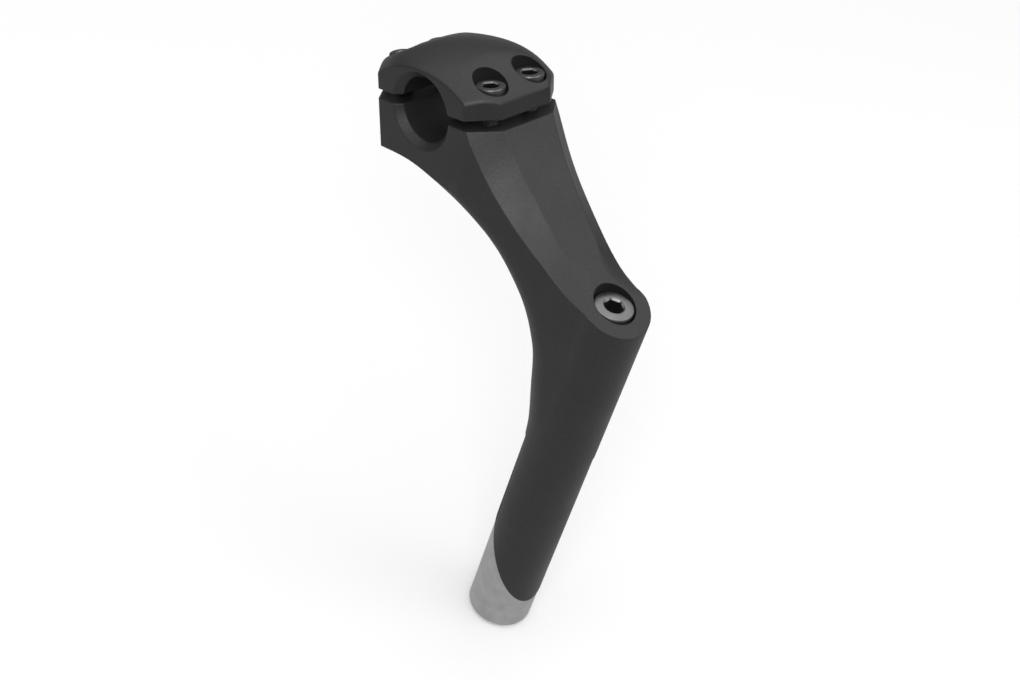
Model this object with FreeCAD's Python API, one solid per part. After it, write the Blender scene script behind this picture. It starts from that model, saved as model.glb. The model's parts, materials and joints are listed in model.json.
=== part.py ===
import FreeCAD, Part
import math
import os
from FreeCAD import Vector

# A handlebar stem for a threaded headset.  Millimetres throughout.
# Frame: Z runs up the quill, Y forward to the handlebar, X to the rider's right.
# The origin is on the quill axis where the quill enters the headset locknut.

# ---- quill and neck -------------------------------------------------------
QUILL_R = 12.7
QUILL_SLANT_Z = -62.0
QUILL_SLANT_DEG = 55.0
QUILL_BOTTOM_Z = -90.0
NECK_R = 12.9
NECK_TOP_Z = 92.0
WEDGE_R = 12.4
WEDGE_BOTTOM_Z = -96.0
WEDGE_GAP = 0.15
WEDGE_EDGE = 1.0

# ---- expander bolt, M8 ----------------------------------------------------
EXPANDER_R = 3.96
EXPANDER_BORE_R = 4.5
EXPANDER_THREAD_R = 4.0
EXPANDER_HEAD_R = 6.9
EXPANDER_HEAD_H = 8.0
EXPANDER_HEAD_TOP_Z = 67.2
EXPANDER_TIP_Z = -90.0
EXPANDER_SOCKET_AF = 6.0
EXPANDER_SOCKET_DEPTH = 4.0
EXPANDER_SOCKET_TURN = 34.0
EXPANDER_COUNTERBORE_R = 7.6
WASHER_R = 7.1
WASHER_HOLE_R = 4.3
WASHER_H = 1.5
WASHER_EDGE = 0.25

# ---- clamp, in its own frame: F forward, N square to the split ------------
CLAMP_TILT_DEG = 19.5
BAR_Y = 82.9
BAR_Z = 94.1
BAR_R = 11.1
CLAMP_HALF_WIDTH = 20.5
CLAMP_HALF_DEPTH = 28.6
CLAMP_CORNER_X = 11.0
CLAMP_CORNER_F = 21.0
BODY_SPLIT_N = -0.9
CAP_SPLIT_N = 2.5
MOUTH_R = 13.5
MOUTH_DEPTH = 2.4
CAP_TOP_N = 18.3
CAP_CROWN_R = 57.5
CAP_CROWN_LONG_R = 80.0
CAP_EAR_SLOPE = 0.58
CAP_EAR_F = 15.2
CAP_EAR_N = 16.5
CAP_END_N = 15.0
CAP_END_R = 32.0
CAP_SIDE_SLOPE = 0.77
CAP_BLEND = 2.2
CAP_GRID = 2.0
CAP_WALL_FILLET = 2.6
CAP_END_FILLET = 1.2
FRONT_WALL_N = -9.0
FRONT_CURVE_F = 26.9
FRONT_CURVE_N = -15.6
FRONT_TOE_F = 19.0
FRONT_TOE_N = -21.5

# ---- clamp bolts, M6 ------------------------------------------------------
BOLT_X = 8.73
BOLT_F = 21.0
BOLT_R = 2.96
BOLT_HEAD_R = 5.0
BOLT_HEAD_H = 6.0
BOLT_HEAD_TOP_N = 11.8
BOLT_LENGTH = 20.0
BOLT_SOCKET_AF = 5.0
BOLT_SOCKET_DEPTH = 3.0
BOLT_CLEAR_R = 3.3
BOLT_THREAD_R = 3.0
BOLT_HOLE_N = -16.0
COUNTERBORE_R = 5.8
SEAT_GAP = 0.02
HEX_SIDES = 6
FULL_TURN = 360.0
HEAD_EDGE = 0.4
TIP_EDGE = 0.7
SOCKET_MOUTH = 1.18

# ---- the arm: underside point, outer point, half widths, corner radius ----
ARM_SECTIONS = [
    ((12.4, -4.0), (0.0, -4.0), 12.4, 12.5, 12.2),
    ((13.7, 4.0), (0.0, 4.5), 12.6, 12.6, 12.3),
    ((15.7, 13.0), (0.0, 15.0), 12.9, 12.6, 12.3),
    ((18.2, 22.5), (0.0, 27.0), 13.3, 12.6, 12.2),
    ((20.6, 33.0), (0.0, 41.0), 13.9, 12.6, 11.8),
    ((23.5, 40.5), (0.5, 54.0), 14.6, 12.65, 11.2),
    ((27.8, 48.3), (2.0, 68.0), 15.3, 12.7, 10.3),
    ((33.5, 55.5), (9.0, 83.0), 16.3, 13.2, 9.0),
    ((41.0, 62.6), (22.0, 92.0), 17.7, 15.2, 8.0),
    ((51.0, 67.8), (39.0, 102.0), 19.3, 17.6, 7.5),
    ((62.0, 71.0), (55.0, 110.0), 20.9, 19.9, 7.2),
    ((72.0, 71.9), (69.0, 113.0), 21.7, 21.5, 7.2),
    ((81.5, 71.7), (84.0, 114.0), 22.2, 22.2, 7.2),
    ((91.0, 69.6), (99.0, 115.0), 22.4, 22.4, 7.2),
    ((100.5, 66.6), (114.0, 113.0), 22.4, 22.4, 7.2),
    ((110.0, 63.3), (129.0, 111.0), 22.4, 22.4, 7.2),
]

# ---- the arm's upper face: y, z, half width of its middle facet, and the
# ---- slope of the facets at its sides, which fade out towards the boss
TOP_LINE = [
    (-16.0, 63.6, 14.0, 0.10),
    (-7.0, 66.05, 13.0, 0.10),
    (0.0, 68.0, 9.4, 0.14),
    (7.5, 70.3, 6.2, 0.28),
    (14.1, 73.5, 6.4, 0.42),
    (23.6, 79.1, 7.8, 0.60),
    (33.3, 85.6, 8.6, 0.72),
    (43.6, 93.1, 9.8, 0.77),
    (52.9, 101.4, 11.0, 0.77),
    (60.0, 108.6, 11.2, 0.77),
]
FACET_INNER = 2.0
FACET_OUTER = 25.0
REACH = 60.0
FAR = 200.0
TINY = 0.001


def yz(y, z, x=0.0):
    return Vector(x, y, z)


def clamp_place(shape):
    """Move a shape from the clamp's own frame to the stem's frame."""
    out = shape.copy()
    out.rotate(Vector(0, 0, 0), Vector(1, 0, 0), -CLAMP_TILT_DEG)
    out.translate(Vector(0, BAR_Y, BAR_Z))
    return out


def clamp_point(f, n):
    tilt = math.radians(CLAMP_TILT_DEG)
    y = BAR_Y + f * math.cos(tilt) + n * math.sin(tilt)
    z = BAR_Z - f * math.sin(tilt) + n * math.cos(tilt)
    return y, z


def box_between(low, high):
    size = high - low
    return Part.makeBox(size.x, size.y, size.z, low)


def prism(points, direction):
    face = Part.Face(Part.makePolygon(points + [points[0]]))
    return face.extrude(direction)


def hex_prism(across_flats, base, height, turn=0.0):
    radius = across_flats / 2.0 / math.cos(math.pi / HEX_SIDES)
    points = []
    for k in range(HEX_SIDES):
        a = math.radians(turn + FULL_TURN * k / HEX_SIDES)
        points.append(base + Vector(radius * math.cos(a), radius * math.sin(a), 0))
    return prism(points, Vector(0, 0, height))


def rim_edges(shape, z, radius):
    """The circular edges of one radius that lie at one height."""
    found = []
    for edge in shape.Edges:
        curve = edge.Curve
        if curve.TypeId != "Part::GeomCircle":
            continue
        if abs(curve.Radius - radius) < TINY and abs(curve.Center.z - z) < TINY:
            found.append(edge)
    return found


def socket_bolt(shank_r, length, head_r, head_h, socket_af, socket_depth, turn=0.0):
    """A socket-head cap screw: seat at z = 0, head up, shank down."""
    head = Part.makeCylinder(head_r, head_h)
    shank = Part.makeCylinder(shank_r, length, Vector(0, 0, -length))
    bolt = head.fuse(shank).removeSplitter()
    bolt = bolt.makeFillet(HEAD_EDGE, rim_edges(bolt, head_h, head_r))
    bolt = bolt.makeChamfer(TIP_EDGE, rim_edges(bolt, -length, shank_r))
    base = Vector(0, 0, head_h - socket_depth)
    bolt = bolt.cut(hex_prism(socket_af, base, head_h, turn))
    cone_r = socket_af / 2.0 * SOCKET_MOUTH
    cone = Part.makeCone(socket_af / 2.0, cone_r, cone_r - socket_af / 2.0,
                         Vector(0, 0, head_h - cone_r + socket_af / 2.0))
    return bolt.cut(cone)


def arm_section(under, outer, w_under, w_outer, corner):
    """One U-shaped section of the arm, rounded at the underside."""
    base = yz(under[0], under[1])
    reach = yz(outer[0], outer[1]) - base
    length = reach.Length
    up = Vector(reach.x, reach.y, reach.z)
    up.normalize()
    w = w_under + (w_outer - w_under) * corner / length
    k = 1.0 - math.sqrt(0.5)

    def at(x, t):
        return base + Vector(x, 0, 0) + up * t

    edges = [
        Part.LineSegment(at(w_outer, length), at(w, corner)).toShape(),
        Part.Arc(at(w, corner), at(w - corner * k, corner * k), at(w - corner, 0)).toShape(),
        Part.LineSegment(at(w - corner, 0), at(corner - w, 0)).toShape(),
        Part.Arc(at(corner - w, 0), at(corner * k - w, corner * k), at(-w, corner)).toShape(),
        Part.LineSegment(at(-w, corner), at(-w_outer, length)).toShape(),
        Part.LineSegment(at(-w_outer, length), at(w_outer, length)).toShape(),
    ]
    return Part.Wire(edges)


def arm_loft():
    """The arm, which starts where the quill enters the headset."""
    wires = [arm_section(*row) for row in ARM_SECTIONS]
    below = box_between(Vector(-REACH, -REACH, -REACH), Vector(REACH, REACH, 0))
    return Part.makeLoft(wires, True, False).cut(below)


def top_curve():
    curve = Part.BSplineCurve()
    curve.interpolate([yz(row[0], row[1]) for row in TOP_LINE])
    return curve


def side_profile():
    """Everything under the upper face and the split, as a slab across X."""
    top = top_curve()
    start = top.StartPoint
    end = top.EndPoint
    rear = yz(*clamp_point(-CLAMP_HALF_DEPTH - COUNTERBORE_R, BODY_SPLIT_N))
    front_split = yz(*clamp_point(CLAMP_HALF_DEPTH, BODY_SPLIT_N))
    wall = yz(*clamp_point(CLAMP_HALF_DEPTH, FRONT_WALL_N))
    bend = yz(*clamp_point(FRONT_CURVE_F, FRONT_CURVE_N))
    toe = yz(*clamp_point(FRONT_TOE_F, FRONT_TOE_N))
    deep = yz(toe.y, -FAR)
    back = yz(start.y, -FAR)
    edges = [
        top.toShape(),
        Part.LineSegment(end, yz(end.y + FAR, end.z)).toShape(),
        Part.LineSegment(yz(end.y + FAR, end.z), yz(end.y + FAR, -FAR)).toShape(),
        Part.LineSegment(yz(end.y + FAR, -FAR), back).toShape(),
        Part.LineSegment(back, start).toShape(),
    ]
    under_top = Part.Face(Part.Wire(edges))
    edges = [
        Part.LineSegment(back, yz(back.y, NECK_TOP_Z)).toShape(),
        Part.LineSegment(yz(back.y, NECK_TOP_Z), yz(rear.y, NECK_TOP_Z + FAR)).toShape(),
        Part.LineSegment(yz(rear.y, NECK_TOP_Z + FAR), rear).toShape(),
        Part.LineSegment(rear, front_split).toShape(),
        Part.LineSegment(front_split, wall).toShape(),
        Part.Arc(wall, bend, toe).toShape(),
        Part.LineSegment(toe, deep).toShape(),
        Part.LineSegment(deep, back).toShape(),
    ]
    under_split = Part.Face(Part.Wire(edges))
    slabs = []
    for face in (under_top, under_split):
        face.translate(Vector(-CLAMP_HALF_WIDTH, 0, 0))
        slabs.append(face.extrude(Vector(2 * CLAMP_HALF_WIDTH, 0, 0)))
    return slabs[0].common(slabs[1])


def facet_cutter(side):
    """The waste over one sloping facet of the arm's upper face."""
    curve = top_curve()
    wires = []
    for y, z, half, slope in TOP_LINE:
        at = curve.parameter(yz(y, z))
        tangent = curve.tangent(at)[0]
        normal = Vector(0, -tangent.z, tangent.y)
        spot = yz(y, z)
        rise = FACET_INNER * slope
        drop = (FACET_OUTER - half) * slope
        inner = spot + Vector(side * (half - FACET_INNER), 0, 0) + normal * rise
        outer = spot + Vector(side * FACET_OUTER, 0, 0) - normal * drop
        corner = spot + Vector(side * FACET_OUTER, 0, 0) + normal * rise
        wires.append(Part.makePolygon([inner, outer, corner, inner]))
    return Part.makeLoft(wires, True, False)


def corner_cutter(side, end):
    """A vertical cut across one corner of the clamp, in the clamp's frame."""
    slope = (CLAMP_HALF_DEPTH - CLAMP_CORNER_F) / (CLAMP_HALF_WIDTH - CLAMP_CORNER_X)
    far = CLAMP_HALF_WIDTH
    x0 = CLAMP_CORNER_X - far
    x1 = CLAMP_HALF_WIDTH + far
    f0 = CLAMP_HALF_DEPTH + slope * far
    f1 = CLAMP_CORNER_F - slope * far
    low = -REACH
    points = [
        Vector(side * x0, end * f0, low),
        Vector(side * x1, end * f1, low),
        Vector(side * x1, end * (f0 + far), low),
        Vector(side * x0, end * (f0 + far), low),
    ]
    return prism(points, Vector(0, 0, 2.0 * REACH))


def bar_cutter():
    """The handlebar's bore with its opened-out mouths, in the clamp's frame."""
    w = CLAMP_HALF_WIDTH
    past = MOUTH_DEPTH
    slope = (MOUTH_R - BAR_R) / MOUTH_DEPTH
    points = [
        Vector(-w - past, 0, 0),
        Vector(-w - past, 0, MOUTH_R + slope * past),
        Vector(MOUTH_DEPTH - w, 0, BAR_R),
        Vector(w - MOUTH_DEPTH, 0, BAR_R),
        Vector(w + past, 0, MOUTH_R + slope * past),
        Vector(w + past, 0, 0),
    ]
    face = Part.Face(Part.makePolygon(points + [points[0]]))
    return face.revolve(Vector(0, 0, 0), Vector(1, 0, 0), FULL_TURN)


def bolt_spots():
    """Rear and front bolts, left and right, in the clamp's frame."""
    spots = {}
    for row, end in (("rear", -1), ("front", 1)):
        for hand, side in (("left", -1), ("right", 1)):
            spots[row + "_" + hand] = (side * BOLT_X, end * BOLT_F)
    return spots


def slant_cutter(z, keep_above):
    """Everything on one side of the slanted plane through the quill's foot."""
    low = -2.0 * REACH if keep_above else 0.0
    corner = Vector(-REACH, -REACH, low)
    block = box_between(corner, corner + Vector(2.0 * REACH, 2.0 * REACH, 2.0 * REACH))
    block.rotate(Vector(0, 0, 0), Vector(1, 0, 0), QUILL_SLANT_DEG)
    block.translate(Vector(0, 0, z))
    return block


def stem_body():
    foot = QUILL_BOTTOM_Z
    quill = Part.makeCylinder(QUILL_R, -foot, Vector(0, 0, foot))
    neck = Part.makeCylinder(NECK_R, NECK_TOP_Z)
    body = neck.fuse(arm_loft()).fuse(quill)
    body = body.common(side_profile())
    for side in (-1, 1):
        body = body.cut(facet_cutter(side))
        body = body.cut(clamp_place(corner_cutter(side, 1)))
    body = body.cut(slant_cutter(QUILL_SLANT_Z, True))
    body = body.cut(clamp_place(bar_cutter()))
    bore_h = NECK_TOP_Z - foot
    body = body.cut(Part.makeCylinder(EXPANDER_BORE_R, bore_h, Vector(0, 0, foot)))
    seat = EXPANDER_HEAD_TOP_Z - EXPANDER_HEAD_H - WASHER_H
    body = body.cut(Part.makeCylinder(EXPANDER_COUNTERBORE_R, bore_h, Vector(0, 0, seat)))
    for x, f in bolt_spots().values():
        hole = Part.makeCylinder(BOLT_THREAD_R, -BOLT_HOLE_N, Vector(x, f, BOLT_HOLE_N))
        body = body.cut(clamp_place(hole))
    return body


def soft_min(a, b):
    """The smaller of two heights, rounded where they cross."""
    near = max(CAP_BLEND - abs(a - b), 0.0) / CAP_BLEND
    return min(a, b) - near * near * CAP_BLEND / 4.0


def cap_height(x, f):
    """How high the cap's upper face is: crown, sloping ears, falling sides."""
    crown = CAP_TOP_N - x * x / (2.0 * CAP_CROWN_R) - f * f / (2.0 * CAP_CROWN_LONG_R)
    ear = CAP_EAR_N + CAP_EAR_SLOPE * (CAP_EAR_F - abs(f))
    side = CAP_END_N - f * f / (2.0 * CAP_END_R) + CAP_SIDE_SLOPE * (CLAMP_HALF_WIDTH - abs(x))
    return soft_min(soft_min(crown, ear), side)


def spaced(half):
    """Even steps from one side to the other, a little past both."""
    count = math.ceil(half / CAP_GRID) + 1
    return [CAP_GRID * k for k in range(-count, count + 1)]


def cap_blank():
    """The cap's outer form in the clamp's frame, its bar side still solid."""
    rows = []
    for x in spaced(CLAMP_HALF_WIDTH):
        rows.append([Vector(x, f, cap_height(x, f)) for f in spaced(CLAMP_HALF_DEPTH)])
    upper = Part.BSplineSurface()
    upper.interpolate(rows)
    under = upper.toShape().extrude(Vector(0, 0, -REACH))
    w = CLAMP_HALF_WIDTH
    d = CLAMP_HALF_DEPTH
    plan = box_between(Vector(-w, -d, CAP_SPLIT_N), Vector(w, d, REACH))
    for side in (-1, 1):
        for end in (-1, 1):
            plan = plan.cut(corner_cutter(side, end))
    return plan.common(under)


def upper_edges(shape, at_ends):
    """The edges round the upper face: at the two ends, or at the walls."""
    found = []
    for edge in shape.Edges:
        box = edge.BoundBox
        on_end = box.XLength < TINY and abs(box.Center.x) > CLAMP_HALF_WIDTH - TINY
        upright = box.XLength < TINY and box.YLength < TINY
        on_split = box.ZMax < CAP_SPLIT_N + TINY
        if not upright and not on_split and on_end == at_ends:
            found.append(edge)
    return found


def clamp_cap():
    cap = cap_blank()
    cap = cap.makeFillet(CAP_WALL_FILLET, upper_edges(cap, False))
    cap = cap.makeFillet(CAP_END_FILLET, upper_edges(cap, True))
    cap = cap.cut(bar_cutter())
    seat = BOLT_HEAD_TOP_N - BOLT_HEAD_H - SEAT_GAP
    for x, f in bolt_spots().values():
        cap = cap.cut(Part.makeCylinder(BOLT_CLEAR_R, REACH, Vector(x, f, 0)))
        cap = cap.cut(Part.makeCylinder(COUNTERBORE_R, REACH, Vector(x, f, seat)))
    return clamp_place(cap)


def clamp_bolt(x, f):
    bolt = socket_bolt(BOLT_R, BOLT_LENGTH, BOLT_HEAD_R, BOLT_HEAD_H,
                       BOLT_SOCKET_AF, BOLT_SOCKET_DEPTH)
    bolt.translate(Vector(x, f, BOLT_HEAD_TOP_N - BOLT_HEAD_H))
    return clamp_place(bolt)


def expander_bolt():
    seat = EXPANDER_HEAD_TOP_Z - EXPANDER_HEAD_H
    bolt = socket_bolt(EXPANDER_R, seat - EXPANDER_TIP_Z, EXPANDER_HEAD_R, EXPANDER_HEAD_H,
                       EXPANDER_SOCKET_AF, EXPANDER_SOCKET_DEPTH, EXPANDER_SOCKET_TURN)
    bolt.translate(Vector(0, 0, seat))
    return bolt


def expander_washer():
    low = EXPANDER_HEAD_TOP_Z - EXPANDER_HEAD_H - WASHER_H
    thick = WASHER_H - SEAT_GAP
    ring = Part.makeCylinder(WASHER_R, thick, Vector(0, 0, low))
    ring = ring.makeChamfer(WASHER_EDGE, rim_edges(ring, low + thick, WASHER_R))
    return ring.cut(Part.makeCylinder(WASHER_HOLE_R, thick, Vector(0, 0, low)))


def expander_wedge():
    height = -WEDGE_BOTTOM_Z
    wedge = Part.makeCylinder(WEDGE_R, height, Vector(0, 0, WEDGE_BOTTOM_Z))
    wedge = wedge.makeChamfer(WEDGE_EDGE, rim_edges(wedge, WEDGE_BOTTOM_Z, WEDGE_R))
    wedge = wedge.cut(slant_cutter(QUILL_SLANT_Z - WEDGE_GAP, False))
    hole = Part.makeCylinder(EXPANDER_THREAD_R, height, Vector(0, 0, WEDGE_BOTTOM_Z))
    return wedge.cut(hole)


def nodes():
    made = {
        "stem_body": stem_body(),
        "clamp_cap": clamp_cap(),
        "expander_bolt": expander_bolt(),
        "expander_washer": expander_washer(),
        "expander_wedge": expander_wedge(),
    }
    for name, (x, f) in bolt_spots().items():
        made["clamp_bolt_" + name] = clamp_bolt(x, f)
    return made


def main():
    os.makedirs("parts", exist_ok=True)
    for name, shape in nodes().items():
        solids = shape.Solids
        if len(solids) != 1 or not solids[0].isValid():
            raise RuntimeError(name + " is not one sound solid")
        solids[0].exportStep("parts/" + name + ".step")
        print(name, round(solids[0].Volume), solids[0].BoundBox)


main()
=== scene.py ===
import json
import math

import bmesh
import bpy
from bpy.props import FloatProperty, FloatVectorProperty, IntProperty, PointerProperty
from bpy.types import Operator, Panel, PropertyGroup
from mathutils import Matrix, Vector


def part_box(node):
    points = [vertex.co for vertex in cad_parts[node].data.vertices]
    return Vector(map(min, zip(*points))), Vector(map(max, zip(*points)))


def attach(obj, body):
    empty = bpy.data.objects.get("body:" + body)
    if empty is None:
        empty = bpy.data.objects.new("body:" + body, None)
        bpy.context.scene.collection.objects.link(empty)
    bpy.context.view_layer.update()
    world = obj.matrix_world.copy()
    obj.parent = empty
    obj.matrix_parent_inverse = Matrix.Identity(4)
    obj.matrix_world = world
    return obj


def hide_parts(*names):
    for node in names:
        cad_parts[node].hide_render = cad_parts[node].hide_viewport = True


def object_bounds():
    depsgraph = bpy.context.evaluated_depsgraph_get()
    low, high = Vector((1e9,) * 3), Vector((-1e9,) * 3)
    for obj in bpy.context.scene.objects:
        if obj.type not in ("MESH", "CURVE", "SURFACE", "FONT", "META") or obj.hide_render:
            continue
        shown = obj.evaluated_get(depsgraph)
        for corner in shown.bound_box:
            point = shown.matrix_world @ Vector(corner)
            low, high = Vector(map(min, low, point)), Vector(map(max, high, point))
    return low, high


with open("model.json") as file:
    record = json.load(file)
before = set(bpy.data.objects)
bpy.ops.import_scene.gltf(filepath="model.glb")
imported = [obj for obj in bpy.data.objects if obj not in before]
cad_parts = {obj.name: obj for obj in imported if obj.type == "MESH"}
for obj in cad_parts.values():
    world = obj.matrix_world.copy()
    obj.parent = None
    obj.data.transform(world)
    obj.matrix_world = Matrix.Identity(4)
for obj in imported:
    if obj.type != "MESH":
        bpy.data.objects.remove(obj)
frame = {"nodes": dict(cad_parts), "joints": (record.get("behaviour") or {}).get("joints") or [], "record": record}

bl_info = {
    "name": "Handlebar Stem",
    "version": (1, 0, 0),
    "blender": (4, 5, 0),
    "location": "View3D > Sidebar > Stem",
    "description": "Finishes a forged handlebar stem, its clamp and its bolts",
    "category": "Object",
}

CAD_LOW, CAD_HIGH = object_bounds()
MM = 0.001
MERGE = 1e-6
HEAD_ROOM = 1.0 * MM
LOOKS_IN = 0.5

# Screws: sizes, and shares of a head's height, a key's width or a pitch.
CLAMP_HEAD_R = 5.0 * MM
CLAMP_HEAD_H = 6.0 * MM
CLAMP_SHANK_R = 2.96 * MM
CLAMP_LENGTH = 20.0 * MM
CLAMP_THREAD = 18.5 * MM
# Share of painted shade that darkens a clamp screw's top, deep in its counterbore.
CLAMP_TOP_SHADE = 0.6
EXPANDER_HEAD_H = 8.0 * MM
EXPANDER_SHANK_R = 3.96 * MM
EXPANDER_THREAD = 30.0 * MM
EXPANDER_SOCKET_TURN = math.radians(34.0)
EXPANDER_TINT = 1.25
SCREW_SMOOTH = math.radians(28.0)
HEAD_EDGE = 0.09
SOCKET_RIM = 0.62
SOCKET_DEPTH = 0.5
SOCKET_LIP = 0.1
SOCKET_SHADOW = 0.15
DRILL_POINT = 0.22
THREAD_ROOT = 0.63
KNURL_DEPTH = 0.012
WASHER_HOLE_R = 4.3 * MM
WASHER_EDGE = 0.25 * MM
WASHER_STEPS = 96
THREAD_STEPS = 40
WEDGE_SMOOTH = math.radians(24.0)

# Finishes: grain and patch sizes, tones against the base colour, the
# spread of the roughness, and the height and strength of the bump.
COAT_PATCH = 18.0 * MM
COAT_TONES = (0.55, 1.6)
COAT_ROUGH = (-0.05, 0.06)
COAT_STRENGTH = 0.6
STEEL_METAL = 0.9
STEEL_GRAIN = 0.18 * MM
STEEL_PATCH = 4.0 * MM
STEEL_TONES = (0.86, 1.1)
STEEL_ROUGH = (-0.05, 0.08)
STEEL_BUMP = 0.012 * MM
STEEL_STRENGTH = 0.5
STEEL_ROUNDING = 0.12 * MM
ALLOY_RINGS = 0.45 * MM
ALLOY_GRAIN = 0.3 * MM
ALLOY_PATCH = 6.0 * MM
ALLOY_TONES = (0.85, 1.08)
ALLOY_ROUGH = (-0.06, 0.08)
ALLOY_BUMP = 0.008 * MM
ALLOY_STRENGTH = 0.7
ALLOY_ROUNDING = 0.2 * MM

# Stage
FLOOR_GAP = 0.5 * MM
FLOOR_ROUGHNESS = 0.9
SENSOR_WIDTH = 36.0
SKY_STOPS = (0.38, 0.50, 0.59, 0.86)
LAMP_AIM = (0.0, 0.04, 0.05)
KEY_SIZE = 0.55
KEY_PLACE = (-0.75, -0.45, 0.85)
FILL_SHARE = 0.35
FILL_SIZE = 0.6
FILL_PLACE = (0.5, -0.7, 0.75)
# Painted shade: the near-black colour painted into holes, key sockets and screw tops, and its strength.
RECESS_SHADE_TONE = (0.002, 0.002, 0.002, 1.0)
RECESS_SHADE_STRENGTH = 0.9
CLAMP_BOLTS = (
    "clamp_bolt_rear_left",
    "clamp_bolt_rear_right",
    "clamp_bolt_front_left",
    "clamp_bolt_front_right",
)


# ---------------------------------------------------------------- settings


class CoatSettings(PropertyGroup):
    """The black coat on the forged body and the cap."""

    colour: FloatVectorProperty(
        name="Colour",
        description="Colour of the powder coat",
        subtype="COLOR",
        size=3,
        default=(0.021, 0.021, 0.0215),
        min=0.0,
        max=1.0,
    )
    roughness: FloatProperty(
        name="Roughness",
        description="Mean roughness of the coat",
        subtype="FACTOR",
        default=0.42,
        min=0.0,
        max=1.0,
    )
    grain: FloatProperty(
        name="Grain size",
        description="Size of the coat's fine grain",
        unit="LENGTH",
        default=0.00032,
        min=0.00005,
        max=0.005,
    )
    grain_depth: FloatProperty(
        name="Grain depth",
        description="Height of the coat's fine grain",
        unit="LENGTH",
        default=0.00006,
        min=0.0,
        max=0.001,
    )
    rounding: FloatProperty(
        name="Edge rounding",
        description="Radius of the soft edges that the coat leaves",
        unit="LENGTH",
        default=0.0007,
        min=0.0,
        max=0.005,
    )
    smooth_angle: FloatProperty(
        name="Smooth angle",
        description="Edges flatter than this are shaded smooth",
        subtype="ANGLE",
        default=math.radians(24.0),
        min=0.0,
        max=math.pi,
    )


class ScrewSettings(PropertyGroup):
    """Details of the socket-head screws that the frame's sizes leave open."""

    colour: FloatVectorProperty(
        name="Colour",
        description="Colour of the plated steel",
        subtype="COLOR",
        size=3,
        default=(0.2, 0.2, 0.203),
        min=0.0,
        max=1.0,
    )
    roughness: FloatProperty(
        name="Roughness",
        description="Mean roughness of the plated steel",
        subtype="FACTOR",
        default=0.34,
        min=0.0,
        max=1.0,
    )
    clamp_socket: FloatProperty(
        name="Clamp screw key",
        description="Width across the flats of a clamp screw's socket",
        unit="LENGTH",
        default=0.005,
        min=0.001,
        max=0.02,
    )
    expander_socket: FloatProperty(
        name="Expander screw key",
        description="Width across the flats of the expander screw's socket",
        unit="LENGTH",
        default=0.006,
        min=0.001,
        max=0.02,
    )
    clamp_pitch: FloatProperty(
        name="Clamp screw pitch",
        description="Thread pitch of a clamp screw",
        unit="LENGTH",
        default=0.001,
        min=0.0005,
        max=0.003,
    )
    expander_pitch: FloatProperty(
        name="Expander screw pitch",
        description="Thread pitch of the expander screw",
        unit="LENGTH",
        default=0.00125,
        min=0.0005,
        max=0.003,
    )
    ridges: IntProperty(
        name="Knurl ridges",
        description="Ridges round a screw's head; a multiple of six",
        default=54,
        min=12,
        max=120,
    )


class WedgeSettings(PropertyGroup):
    """The turned wedge and the washer at the ends of the quill."""

    colour: FloatVectorProperty(
        name="Colour",
        description="Colour of the bare turned alloy",
        subtype="COLOR",
        size=3,
        default=(0.62, 0.62, 0.63),
        min=0.0,
        max=1.0,
    )
    roughness: FloatProperty(
        name="Roughness",
        description="Mean roughness of the turned alloy",
        subtype="FACTOR",
        default=0.34,
        min=0.0,
        max=1.0,
    )


class StageSettings(PropertyGroup):
    """The floor, the light and the camera."""

    floor_colour: FloatVectorProperty(
        name="Floor colour",
        description="Colour of the plain floor",
        subtype="COLOR",
        size=3,
        default=(0.97, 0.97, 0.97),
        min=0.0,
        max=1.0,
    )
    floor_size: FloatProperty(
        name="Floor size",
        description="Width of the floor",
        unit="LENGTH",
        default=12.0,
        min=1.0,
        max=100.0,
    )
    sky: FloatProperty(
        name="Sky light",
        description="Strength of the even light from overhead",
        default=1.15,
        min=0.0,
        max=10.0,
    )
    horizon: FloatProperty(
        name="Horizon light",
        description="Brightness of the sky at the horizon against overhead",
        subtype="FACTOR",
        default=0.05,
        min=0.0,
        max=1.0,
    )
    bounce: FloatProperty(
        name="Bounced light",
        description="Brightness of the light off the table against overhead",
        subtype="FACTOR",
        default=0.42,
        min=0.0,
        max=1.0,
    )
    key: FloatProperty(
        name="Key light",
        description="Power of the large soft lamp",
        unit="POWER",
        default=3.6,
        min=0.0,
        max=1000.0,
    )
    camera_place: FloatVectorProperty(
        name="Camera place",
        description="Where the camera stands",
        subtype="TRANSLATION",
        unit="LENGTH",
        size=3,
        default=(-0.33044, -0.19320, 0.38936),
    )
    camera_azimuth: FloatProperty(
        name="Camera azimuth",
        description="Turn of the camera round the stem, 0 from behind",
        subtype="ANGLE",
        default=math.radians(-53.79),
    )
    camera_elevation: FloatProperty(
        name="Camera elevation",
        description="Height of the camera above level",
        subtype="ANGLE",
        default=math.radians(38.79),
    )
    camera_roll: FloatProperty(
        name="Camera roll",
        description="Roll of the camera about its own axis",
        subtype="ANGLE",
        default=math.radians(17.32),
    )
    camera_tilt: FloatProperty(
        name="Camera tilt",
        description="Extra tilt downwards that brings the quill's foot into view",
        subtype="ANGLE",
        default=math.radians(4.0),
    )
    camera_lens: FloatProperty(
        name="Lens",
        description="Focal length on a 36 mm wide sensor, in millimetres",
        default=54.39,
        min=10.0,
        max=300.0,
    )


class StemSettings(PropertyGroup):
    """All the stem's settings."""

    coat: PointerProperty(type=CoatSettings, name="Coat", description="Black coat")
    screws: PointerProperty(type=ScrewSettings, name="Screws", description="Screws")
    wedge: PointerProperty(type=WedgeSettings, name="Wedge", description="Wedge")
    stage: PointerProperty(type=StageSettings, name="Stage", description="Stage")


# ---------------------------------------------------------------- materials


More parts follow.
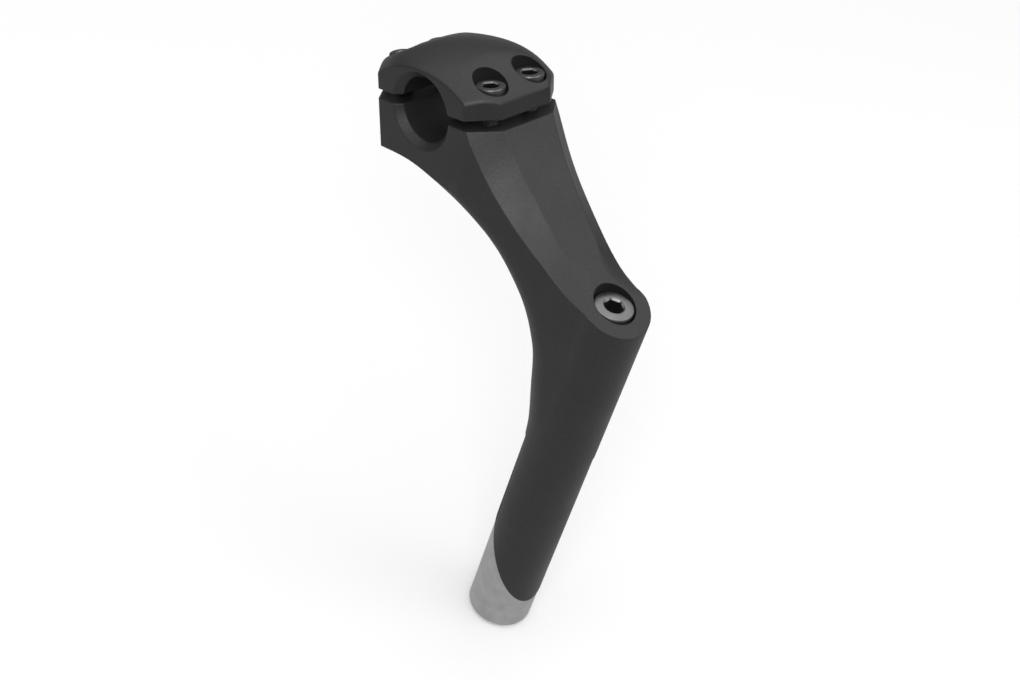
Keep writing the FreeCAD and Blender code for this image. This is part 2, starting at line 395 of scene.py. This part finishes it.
def new_group(name, inputs, outputs):
    """A shader node group with named sockets, and its two end nodes."""
    group = bpy.data.node_groups.new(name, "ShaderNodeTree")
    for label, kind, value in inputs:
        socket = group.interface.new_socket(label, in_out="INPUT", socket_type=kind)
        socket.default_value = value
    for label, kind in outputs:
        group.interface.new_socket(label, in_out="OUTPUT", socket_type=kind)
    return group, group.nodes.new("NodeGroupInput"), group.nodes.new("NodeGroupOutput")


def math_node(nodes, links, operation, first, second):
    """A Math node; each operand is a socket or a number."""
    node = nodes.new("ShaderNodeMath")
    node.operation = operation
    for slot, value in enumerate((first, second)):
        if isinstance(value, (int, float)):
            node.inputs[slot].default_value = value
        else:
            links.new(value, node.inputs[slot])
    return node.outputs[0]


def noise_node(nodes, links, vector, scale, detail=2.0, rough=0.5):
    node = nodes.new("ShaderNodeTexNoise")
    links.new(vector, node.inputs["Vector"])
    if isinstance(scale, (int, float)):
        node.inputs["Scale"].default_value = scale
    else:
        links.new(scale, node.inputs["Scale"])
    node.inputs["Detail"].default_value = detail
    node.inputs["Roughness"].default_value = rough
    return node.outputs["Fac"]


def grain_group():
    """Fine grain and slow unevenness of a coated or plated surface."""
    group, start, end = new_group(
        "surface_grain",
        [("Size", "NodeSocketFloat", 0.0003), ("Patch Size", "NodeSocketFloat", 0.02)],
        [("Height", "NodeSocketFloat"), ("Grain", "NodeSocketFloat"), ("Patches", "NodeSocketFloat")],
    )
    nodes, links = group.nodes, group.links
    place = nodes.new("ShaderNodeTexCoord").outputs["Object"]
    fine_scale = math_node(nodes, links, "DIVIDE", 1.0, start.outputs["Size"])
    fine = noise_node(nodes, links, place, fine_scale, 2.0, 0.6)
    coarse_scale = math_node(nodes, links, "MULTIPLY", fine_scale, 0.28)
    coarse = noise_node(nodes, links, place, coarse_scale, 1.0, 0.5)
    patch_scale = math_node(nodes, links, "DIVIDE", 1.0, start.outputs["Patch Size"])
    patches = noise_node(nodes, links, place, patch_scale, 3.0, 0.55)
    swell = math_node(nodes, links, "MULTIPLY", coarse, 0.7)
    height = math_node(nodes, links, "ADD", fine, swell)
    links.new(height, end.inputs["Height"])
    links.new(fine, end.inputs["Grain"])
    links.new(patches, end.inputs["Patches"])
    return group


def turned_group():
    """Fine rings left by a lathe round the Z axis."""
    group, start, end = new_group(
        "turning_rings",
        [("Spacing", "NodeSocketFloat", 0.0004)],
        [("Height", "NodeSocketFloat")],
    )
    nodes, links = group.nodes, group.links
    place = nodes.new("ShaderNodeTexCoord").outputs["Object"]
    split = nodes.new("ShaderNodeSeparateXYZ")
    links.new(place, split.inputs[0])
    warp = noise_node(nodes, links, place, 300.0, 1.0)
    along = math_node(nodes, links, "DIVIDE", split.outputs["Z"], start.outputs["Spacing"])
    wavy = math_node(nodes, links, "ADD", along, warp)
    turn = math_node(nodes, links, "MULTIPLY", wavy, 2.0 * math.pi)
    links.new(math_node(nodes, links, "SINE", turn, 0.0), end.inputs["Height"])
    return group


def node_group(name, maker):
    """The named group, made the first time it is asked for."""
    return bpy.data.node_groups.get(name) or maker()


def placed_group(material, group, values):
    node = material.node_tree.nodes.new("ShaderNodeGroup")
    node.node_tree = group
    for label, value in values.items():
        node.inputs[label].default_value = value
    return node


def new_material(name):
    material = bpy.data.materials.new(name)
    material.use_nodes = True
    return material, material.node_tree.nodes["Principled BSDF"]


def spread(material, factor, low, high):
    """A factor from 0 to 1 mapped onto low to high."""
    node = material.node_tree.nodes.new("ShaderNodeMapRange")
    material.node_tree.links.new(factor, node.inputs["Value"])
    node.inputs["From Min"].default_value = 0.3
    node.inputs["From Max"].default_value = 0.7
    node.inputs["To Min"].default_value = low
    node.inputs["To Max"].default_value = high
    return node.outputs["Result"]


def tinted(material, factor, colour, tones):
    """A colour between the darker and the lighter of two tones of one colour."""
    node = material.node_tree.nodes.new("ShaderNodeMix")
    node.data_type = "RGBA"
    material.node_tree.links.new(factor, node.inputs["Factor"])
    node.inputs["A"].default_value = (*scaled(colour, tones[0]), 1.0)
    node.inputs["B"].default_value = (*scaled(colour, tones[1]), 1.0)
    return node.outputs["Result"]


def raise_bump(material, shader, height, distance, strength, rounding):
    """A bump over edges that are rounded by a small radius."""
    nodes, links = material.node_tree.nodes, material.node_tree.links
    bevel = nodes.new("ShaderNodeBevel")
    bevel.samples = 6
    bevel.inputs["Radius"].default_value = rounding
    node = nodes.new("ShaderNodeBump")
    node.inputs["Strength"].default_value = strength
    node.inputs["Distance"].default_value = distance
    links.new(bevel.outputs["Normal"], node.inputs["Normal"])
    links.new(height, node.inputs["Height"])
    links.new(node.outputs["Normal"], shader.inputs["Normal"])


def shade_painted_tone(material, tone):
    """The tone with painted shade: near black on faces marked as lying in a hole or key socket, dimmer on marked
    screw tops.
    """
    nodes, links = material.node_tree.nodes, material.node_tree.links
    mark = nodes.new("ShaderNodeAttribute")
    mark.attribute_name = "painted_shade"
    node = nodes.new("ShaderNodeMix")
    node.data_type = "RGBA"
    depth = math_node(nodes, links, "MULTIPLY", mark.outputs["Fac"], RECESS_SHADE_STRENGTH)
    links.new(depth, node.inputs["Factor"])
    links.new(tone, node.inputs["A"])
    node.inputs["B"].default_value = RECESS_SHADE_TONE
    return node.outputs["Result"]


def dulled(material, rough):
    """The roughness, raised to matte on the faces marked with painted shade."""
    nodes, links = material.node_tree.nodes, material.node_tree.links
    mark = nodes.new("ShaderNodeAttribute")
    mark.attribute_name = "painted_shade"
    return math_node(nodes, links, "MAXIMUM", rough, mark.outputs["Fac"])


def scaled(colour, factor):
    return tuple(min(1.0, c * factor) for c in colour)


def black_coat(settings):
    """Fine-grained matte black powder coat on forged alloy."""
    material, shader = new_material("black_coat")
    links = material.node_tree.links
    grain = placed_group(
        material,
        node_group("surface_grain", grain_group),
        {"Size": settings.grain, "Patch Size": COAT_PATCH},
    )
    colour = tuple(settings.colour)
    mottle = spread(material, grain.outputs["Grain"], 0.0, 1.0)
    tone = tinted(material, mottle, colour, COAT_TONES)
    # Base colour: grain tones, with painted shade in the screw holes.
    links.new(shade_painted_tone(material, tone), shader.inputs["Base Color"])
    low, high = (settings.roughness + change for change in COAT_ROUGH)
    rough = spread(material, grain.outputs["Patches"], low, high)
    links.new(dulled(material, rough), shader.inputs["Roughness"])
    height = grain.outputs["Height"]
    depth = settings.grain_depth
    raise_bump(material, shader, height, depth, COAT_STRENGTH, settings.rounding)
    return material


def plated_steel(name, colour, roughness):
    """Satin plated steel with a faint grain."""
    material, shader = new_material(name)
    links = material.node_tree.links
    grain = placed_group(
        material,
        node_group("surface_grain", grain_group),
        {"Size": STEEL_GRAIN, "Patch Size": STEEL_PATCH},
    )
    patches = spread(material, grain.outputs["Patches"], 0.0, 1.0)
    tone = tinted(material, patches, colour, STEEL_TONES)
    # Base colour: plated tones, with painted shade in key sockets and on clamp screw tops.
    links.new(shade_painted_tone(material, tone), shader.inputs["Base Color"])
    shader.inputs["Metallic"].default_value = STEEL_METAL
    low, high = (roughness + change for change in STEEL_ROUGH)
    rough = spread(material, grain.outputs["Patches"], low, high)
    links.new(dulled(material, rough), shader.inputs["Roughness"])
    height = grain.outputs["Height"]
    raise_bump(material, shader, height, STEEL_BUMP, STEEL_STRENGTH, STEEL_ROUNDING)
    return material


def turned_alloy(colour, roughness):
    """Bare alloy with a lathe's fine rings."""
    material, shader = new_material("turned_alloy")
    links = material.node_tree.links
    rings = placed_group(
        material, node_group("turning_rings", turned_group), {"Spacing": ALLOY_RINGS}
    )
    grain = placed_group(
        material,
        node_group("surface_grain", grain_group),
        {"Size": ALLOY_GRAIN, "Patch Size": ALLOY_PATCH},
    )
    patches = spread(material, grain.outputs["Patches"], 0.0, 1.0)
    tone = tinted(material, patches, colour, ALLOY_TONES)
    # Base colour: alloy tones, with painted shade on faces marked in a screw hole.
    links.new(shade_painted_tone(material, tone), shader.inputs["Base Color"])
    shader.inputs["Metallic"].default_value = 1.0
    low, high = (roughness + change for change in ALLOY_ROUGH)
    rough = spread(material, grain.outputs["Patches"], low, high)
    links.new(dulled(material, rough), shader.inputs["Roughness"])
    height = rings.outputs["Height"]
    raise_bump(material, shader, height, ALLOY_BUMP, ALLOY_STRENGTH, ALLOY_ROUNDING)
    return material


# ---------------------------------------------------------------- mesh tools


def finished(name, mesh, material, body, slot, *nodes):
    """The mesh as a piece that rides on a body and stands for CAD nodes."""
    piece = bpy.data.objects.new(name, mesh)
    bpy.context.scene.collection.objects.link(piece)
    mesh.materials.clear()
    mesh.materials.append(material)
    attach(piece, body)
    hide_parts(*nodes)
    return piece


def mark_shaded_faces(bm, shade_at):
    """Marks faces with painted shade, by how deep they lie inside a hole or a key socket."""
    layer = bm.faces.layers.float.get("painted_shade") or bm.faces.layers.float.new("painted_shade")
    for face in bm.faces:
        face[layer] = float(shade_at(face.calc_center_median(), face.normal))


def smooth_mesh(bm, name, angle):
    """Smooth faces, with the edges over the angle kept sharp."""
    for face in bm.faces:
        face.smooth = True
    for edge in bm.edges:
        if len(edge.link_faces) == 2 and edge.calc_face_angle(0.0) > angle:
            edge.smooth = False
    mesh = bpy.data.meshes.new(name)
    bm.to_mesh(mesh)
    bm.free()
    return mesh


def screw_holes():
    """The holes that the screws' heads sit in: a point, an axis and a radius."""
    holes = []
    for joint in frame["joints"]:
        if joint["type"] == "hinge":
            axis = Vector(joint["axis"]).normalized()
            reach = across(body_node(joint["child"]), axis) / 2.0 + HEAD_ROOM
            holes.append((Vector(joint["pos_m"]), axis, reach))
    return holes


def cad_copy(node, name, angle):
    """A merged, smooth-shaded copy of a CAD node's mesh."""
    bm = bmesh.new()
    bm.from_mesh(frame["nodes"][node].data)
    bmesh.ops.remove_doubles(bm, verts=bm.verts, dist=MERGE)
    bm.normal_update()
    holes = screw_holes()

    # Painted shade: faces that look inward inside a screw's hole are painted near black.
    def hole_shade(point, normal):
        for start, axis, reach in holes:
            out = point - start
            out -= axis * out.dot(axis)
            if out.length < reach and normal.dot(out) < -LOOKS_IN * out.length:
                return True
        return False

    mark_shaded_faces(bm, hole_shade)
    return smooth_mesh(bm, name, angle)


def body_node(body):
    """The first CAD node of a body."""
    return frame["record"]["behaviour"]["bodies"][body][0]


def body_of_node(node):
    for body, members in frame["record"]["behaviour"]["bodies"].items():
        if node in members:
            return body
    raise RuntimeError("no body holds " + node)


def joint_of(body):
    for joint in frame["joints"]:
        if joint["child"] == body:
            return joint
    raise RuntimeError("no joint moves " + body)


def highest_along(node, axis):
    """How far a CAD node reaches along an axis."""
    return max(v.co.dot(axis) for v in frame["nodes"][node].data.vertices)


def across(node, axis):
    """The diameter of a CAD node that is round about an axis through its middle."""
    low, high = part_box(node)
    middle = (low + high) / 2.0
    reach = [v.co - middle for v in frame["nodes"][node].data.vertices]
    return 2.0 * max((r - axis * r.dot(axis)).length for r in reach)


def spun(bm, profile, steps):
    """A profile of (radius, height) points spun round the Z axis."""
    verts = [bm.verts.new((r, 0.0, z)) for r, z in profile]
    edges = [bm.edges.new(pair) for pair in zip(verts, verts[1:])]
    bmesh.ops.spin(
        bm,
        geom=verts + edges,
        cent=(0, 0, 0),
        axis=(0, 0, 1),
        angle=2.0 * math.pi,
        steps=steps,
        use_merge=True,
    )
    bmesh.ops.remove_doubles(bm, verts=bm.verts, dist=MERGE)


def rim_at(bm, radius, z):
    """The edges of the ring at one radius and height."""

    def on_ring(v):
        return abs(v.co.xy.length - radius) < MERGE and abs(v.co.z - z) < MERGE

    return [e for e in bm.edges if on_ring(e.verts[0]) and on_ring(e.verts[1])]


def add_socket(bm, rim, steps, key, top, depth, lip, turn):
    """A hexagonal key socket with a drilled floor, joined to the rim."""
    ring = bmesh.ops.create_circle(bm, segments=6, radius=key / math.sqrt(3.0))["verts"]
    bmesh.ops.rotate(bm, verts=ring, cent=(0, 0, 0), matrix=Matrix.Rotation(turn, 3, "Z"))
    edges = list({e for v in ring for e in v.link_edges})
    cut = bmesh.ops.subdivide_edges(bm, edges=edges, cuts=steps // 6 - 1)
    hexagon = [e for e in cut["geom"] if isinstance(e, bmesh.types.BMEdge)]
    hexagon = list({e for e in hexagon} | {e for e in edges if e.is_valid})
    verts = list({v for e in hexagon for v in e.verts})
    bmesh.ops.translate(bm, verts=verts, vec=(0, 0, top - lip))
    bmesh.ops.bridge_loops(bm, edges=rim + hexagon)
    wall = bmesh.ops.extrude_edge_only(bm, edges=hexagon)["geom"]
    verts = [g for g in wall if isinstance(g, bmesh.types.BMVert)]
    bmesh.ops.translate(bm, verts=verts, vec=(0, 0, lip - depth))
    floor = [g for g in wall if isinstance(g, bmesh.types.BMEdge)]
    cone = bmesh.ops.extrude_edge_only(bm, edges=floor)["geom"]
    verts = [g for g in cone if isinstance(g, bmesh.types.BMVert)]
    bmesh.ops.pointmerge(bm, verts=verts, merge_co=(0, 0, top - depth - key * DRILL_POINT))


def add_thread(bm, radius, pitch, low, high, steps):
    """A helical ridge that fades out at both ends, round the Z axis."""
    root = radius - 0.61 * pitch
    crest = pitch * 0.07
    turns = (high - low) / pitch - 1.0
    points = [
        (root, -pitch / 2.0),
        (radius, -crest),
        (radius, crest),
        (root, pitch / 2.0),
    ]
    before = set(bm.verts)
    verts = [bm.verts.new((r, 0.0, low + pitch / 2.0 + z)) for r, z in points]
    edges = [bm.edges.new(pair) for pair in zip(verts, verts[1:])]
    count = int(round(turns * steps))
    bmesh.ops.spin(
        bm,
        geom=verts + edges,
        cent=(0, 0, 0),
        axis=(0, 0, 1),
        dvec=(0, 0, pitch / steps),
        angle=2.0 * math.pi * count / steps,
        steps=count,
    )
    made = [v for v in bm.verts if v not in before]
    for v in made:
        ends = min(v.co.z - low, high - v.co.z) / (1.5 * pitch)
        fade = max(0.0, min(1.0, ends))
        reach = v.co.xy.length
        v.co.xy *= (root + (reach - root) * fade - (1.0 - fade) * 0.04 * MM) / reach
    bmesh.ops.remove_doubles(bm, verts=made, dist=MERGE)


def knurl(bm, radius, low, high, steps, depth):
    """Shallow upright grooves round a screw's head."""
    for v in bm.verts:
        if abs(v.co.xy.length - radius) < MERGE and low < v.co.z < high:
            index = round(math.atan2(v.co.y, v.co.x) / (2.0 * math.pi) * steps)
            if index % 2:
                v.co.xy *= (radius - depth) / radius


def screw_mesh(name, size, key, pitch, thread, ridges, turn, shade=0.0):
    """A socket-head screw: seat at z = 0, head up, shank down; shade is the share of painted shade that darkens
    its top.
    """
    head_r, head_h, shank_r, length = size
    steps = 2 * ridges
    edge = HEAD_EDGE * head_h
    rim = key * SOCKET_RIM
    root = shank_r - THREAD_ROOT * pitch
    plain = length - thread
    bm = bmesh.new()
    neck = [(shank_r, 0.0), (shank_r, -plain), (root, -plain - 0.3 * pitch)]
    profile = [
        (rim, head_h),
        (head_r - edge, head_h),
        (head_r - 0.3 * edge, head_h - 0.3 * edge),
        (head_r, head_h - edge),
        (head_r, head_h - 1.6 * edge),
        (head_r, head_h - 1.61 * edge),
        (head_r, 0.9 * edge),
        (head_r, 0.89 * edge),
        (head_r, 0.5 * edge),
        (head_r - 0.5 * edge, 0.0),
        *neck,
        (root, -length + 0.5 * pitch),
        (root - 0.5 * pitch, -length),
        (0.0, -length),
    ]
    spun(bm, profile, steps)
    knurl(bm, head_r, 0.895 * edge, head_h - 1.605 * edge, steps, KNURL_DEPTH * head_r)
    depth = SOCKET_DEPTH * head_h
    add_socket(bm, rim_at(bm, rim, head_h), steps, key, head_h, depth, SOCKET_LIP * key, turn)
    bmesh.ops.recalc_face_normals(bm, faces=bm.faces)

    # Painted shade: near black inside the key socket, and the given share on the head's top face.
    def socket_shade(point, normal):
        if point.xy.length < rim and 0.0 < point.z < head_h - SOCKET_SHADOW * key:
            return 1.0
        return shade if normal.z > 0.9 and point.z > 0.9 * head_h else 0.0

    mark_shaded_faces(bm, socket_shade)
    add_thread(bm, shank_r, pitch, -length + 0.3 * pitch, -plain, THREAD_STEPS)
    return smooth_mesh(bm, name, SCREW_SMOOTH)


def ring_mesh(name, profile, steps):
    """A closed ring from a closed profile of (radius, height) points."""
    bm = bmesh.new()
    spun(bm, profile + [profile[0]], steps)
    bmesh.ops.recalc_face_normals(bm, faces=bm.faces)
    return smooth_mesh(bm, name, math.radians(25.0))


# ---------------------------------------------------------------- operators


class STEM_OT_castings(Operator):
    """Coats the forged body and the clamp's cap"""

    bl_idname = "stem.castings"
    bl_label = "Body and Cap"

    def execute(self, context):
        settings = context.scene.stem.coat
        coat = black_coat(settings)
        for node, name in (("stem_body", "forged_body"), ("clamp_cap", "crowned_cap")):
            mesh = cad_copy(node, name, settings.smooth_angle)
            finished(name, mesh, coat, body_of_node(node), "body_coat", node)
        return {"FINISHED"}


class STEM_OT_clamp_screws(Operator):
    """Makes the clamp's four socket-head screws"""

    bl_idname = "stem.clamp_screws"
    bl_label = "Clamp Screws"

    def execute(self, context):
        settings = context.scene.stem.screws
        steel = plated_steel("clamp_screw_steel", tuple(settings.colour), settings.roughness)
        size = (CLAMP_HEAD_R, CLAMP_HEAD_H, CLAMP_SHANK_R, CLAMP_LENGTH)
        for node in CLAMP_BOLTS:
            joint = joint_of(body_of_node(node))
            seat = Vector(joint["pos_m"])
            axis = Vector(joint["axis"]).normalized()
            mesh = screw_mesh(
                node + "_screw",
                size,
                settings.clamp_socket,
                settings.clamp_pitch,
                CLAMP_THREAD,
                settings.ridges,
                0.0,
                CLAMP_TOP_SHADE,
            )
            top = highest_along(node, axis)
            seat += axis * (top - CLAMP_HEAD_H - seat.dot(axis))
            turn = Vector((0, 0, 1)).rotation_difference(axis).to_matrix().to_4x4()
            mesh.transform(Matrix.Translation(seat) @ turn)
            finished(node + "_screw", mesh, steel, body_of_node(node), "bolt_steel", node)
        return {"FINISHED"}


class STEM_OT_expander_screw(Operator):
    """Makes the long screw down the quill"""

    bl_idname = "stem.expander_screw"
    bl_label = "Expander Screw"

    def execute(self, context):
        settings = context.scene.stem.screws
        node = "expander_bolt"
        colour = scaled(tuple(settings.colour), EXPANDER_TINT)
        steel = plated_steel("expander_screw_steel", colour, settings.roughness)
        low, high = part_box(node)
        head_r = 0.5 * across(node, Vector((0, 0, 1)))
        length = high.z - low.z - EXPANDER_HEAD_H
        size = (head_r, EXPANDER_HEAD_H, EXPANDER_SHANK_R, length)
        mesh = screw_mesh(
            "expander_screw",
            size,
            settings.expander_socket,
            settings.expander_pitch,
            EXPANDER_THREAD,
            settings.ridges,
            EXPANDER_SOCKET_TURN,
        )
        mesh.transform(Matrix.Translation((0, 0, high.z - EXPANDER_HEAD_H)))
        finished("expander_screw", mesh, steel, body_of_node(node), "bolt_steel", node)
        return {"FINISHED"}


class STEM_OT_washer(Operator):
    """Makes the washer under the expander screw's head"""

    bl_idname = "stem.washer"
    bl_label = "Washer"

    def execute(self, context):
        settings = context.scene.stem.screws
        node = "expander_washer"
        steel = plated_steel("washer_steel", tuple(settings.colour), settings.roughness)
        low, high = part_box(node)
        outer = high.x
        profile = [
            (WASHER_HOLE_R, low.z),
            (outer, low.z),
            (outer, high.z - WASHER_EDGE),
            (outer - WASHER_EDGE, high.z),
            (WASHER_HOLE_R, high.z),
        ]
        mesh = ring_mesh("quill_washer", profile, WASHER_STEPS)
        finished("quill_washer", mesh, steel, body_of_node(node), "washer_steel", node)
        return {"FINISHED"}


class STEM_OT_wedge(Operator):
    """Finishes the slanted wedge under the quill"""

    bl_idname = "stem.wedge"
    bl_label = "Wedge"

    def execute(self, context):
        settings = context.scene.stem.wedge
        node = "expander_wedge"
        alloy = turned_alloy(tuple(settings.colour), settings.roughness)
        mesh = cad_copy(node, "turned_wedge", WEDGE_SMOOTH)
        finished("turned_wedge", mesh, alloy, body_of_node(node), "wedge_alloy", node)
        return {"FINISHED"}


class STEM_OT_stage(Operator):
    """Sets up the floor, the light and the camera"""

    bl_idname = "stem.stage"
    bl_label = "Stage"

    def execute(self, context):
        settings = context.scene.stem.stage
        make_floor(settings)
        make_light(settings)
        make_camera(settings)
        context.scene.view_settings.view_transform = "Standard"
        return {"FINISHED"}


def make_floor(settings):
    bm = bmesh.new()
    bmesh.ops.create_grid(bm, x_segments=1, y_segments=1, size=settings.floor_size / 2.0)
    bmesh.ops.translate(bm, verts=bm.verts, vec=(0, 0, CAD_LOW.z - FLOOR_GAP))
    mesh = bpy.data.meshes.new("floor")
    bm.to_mesh(mesh)
    bm.free()
    material, shader = new_material("pale_floor")
    shader.inputs["Base Color"].default_value = (*settings.floor_colour, 1.0)
    shader.inputs["Roughness"].default_value = FLOOR_ROUGHNESS
    mesh.materials.append(material)
    floor = bpy.data.objects.new("floor", mesh)
    bpy.context.scene.collection.objects.link(floor)
    floor.visible_diffuse = False
    floor.visible_glossy = False
    floor.visible_shadow = False


def area_lamp(name, power, size, place, target):
    data = bpy.data.lights.new(name, "AREA")
    data.energy = power
    data.shape = "SQUARE"
    data.size = size
    lamp = bpy.data.objects.new(name, data)
    bpy.context.scene.collection.objects.link(lamp)
    lamp.location = place
    lamp.rotation_euler = (Vector(target) - Vector(place)).to_track_quat("-Z", "Y").to_euler()
    return lamp


def make_light(settings):
    bpy.context.scene.world = studio_sky(settings)
    area_lamp("key", settings.key, KEY_SIZE, KEY_PLACE, LAMP_AIM)
    area_lamp("fill", settings.key * FILL_SHARE, FILL_SIZE, FILL_PLACE, LAMP_AIM)


def studio_sky(settings):
    """Soft light, strong overhead, weak at the horizon, half off the table."""
    world = bpy.data.worlds.new("studio_sky")
    world.use_nodes = True
    nodes, links = world.node_tree.nodes, world.node_tree.links
    split = nodes.new("ShaderNodeSeparateXYZ")
    links.new(nodes.new("ShaderNodeTexCoord").outputs["Generated"], split.inputs[0])
    ramp = nodes.new("ShaderNodeValToRGB")
    half = math_node(nodes, links, "MULTIPLY", split.outputs["Z"], 0.5)
    links.new(math_node(nodes, links, "ADD", half, 0.5), ramp.inputs["Fac"])
    stops = ramp.color_ramp.elements
    levels = (settings.bounce, settings.horizon, settings.horizon, 1.0)
    stops.new(SKY_STOPS[1])
    stops.new(SKY_STOPS[2])
    for stop, place, level in zip(stops, SKY_STOPS, levels):
        stop.position = place
        stop.color = (level, level, level, 1.0)
    sky = nodes["Background"]
    links.new(ramp.outputs["Color"], sky.inputs["Color"])
    sky.inputs["Strength"].default_value = settings.sky
    backdrop = nodes.new("ShaderNodeBackground")
    backdrop.inputs["Color"].default_value = (1.0, 1.0, 1.0, 1.0)
    mix = nodes.new("ShaderNodeMixShader")
    seen = nodes.new("ShaderNodeLightPath").outputs["Is Camera Ray"]
    links.new(seen, mix.inputs[0])
    links.new(sky.outputs[0], mix.inputs[1])
    links.new(backdrop.outputs[0], mix.inputs[2])
    links.new(mix.outputs[0], nodes["World Output"].inputs["Surface"])
    return world


def make_camera(settings):
    data = bpy.data.cameras.new("camera")
    data.sensor_width = SENSOR_WIDTH
    data.lens = settings.camera_lens
    data.clip_start = 0.01
    data.clip_end = 50.0
    camera = bpy.data.objects.new("camera", data)
    bpy.context.scene.collection.objects.link(camera)
    az, el = settings.camera_azimuth, settings.camera_elevation
    back = Vector((math.sin(az) * math.cos(el), -math.cos(az) * math.cos(el), math.sin(el)))
    level = (-back).cross(Vector((0, 0, 1))).normalized()
    up = level.cross(-back)
    roll = settings.camera_roll
    right = math.cos(roll) * level + math.sin(roll) * up
    top = math.cos(roll) * up - math.sin(roll) * level
    turn = Matrix((right, top, back)).transposed()
    turn = turn @ Matrix.Rotation(-settings.camera_tilt, 3, "X")
    camera.matrix_world = Matrix.Translation(settings.camera_place) @ turn.to_4x4()
    bpy.context.scene.camera = camera


class STEM_PT_panel(Panel):
    """Lists the stem's steps"""

    bl_idname = "STEM_PT_panel"
    bl_label = "Handlebar Stem"
    bl_space_type = "VIEW_3D"
    bl_region_type = "UI"
    bl_category = "Stem"

    def draw(self, context):
        for step in STEPS:
            self.layout.operator(step.bl_idname)


STEPS = (
    STEM_OT_castings,
    STEM_OT_clamp_screws,
    STEM_OT_expander_screw,
    STEM_OT_washer,
    STEM_OT_wedge,
    STEM_OT_stage,
)
CLASSES = (
    CoatSettings,
    ScrewSettings,
    WedgeSettings,
    StageSettings,
    StemSettings,
    *STEPS,
    STEM_PT_panel,
)


def register():
    for cls in CLASSES:
        bpy.utils.register_class(cls)
    bpy.types.Scene.stem = PointerProperty(type=StemSettings)


def unregister():
    del bpy.types.Scene.stem
    for cls in reversed(CLASSES):
        bpy.utils.unregister_class(cls)


def main():
    register()
    bpy.ops.stem.castings()
    bpy.ops.stem.clamp_screws()
    bpy.ops.stem.expander_screw()
    bpy.ops.stem.washer()
    bpy.ops.stem.wedge()
    bpy.ops.stem.stage()


if __name__ == "__main__":
    main()
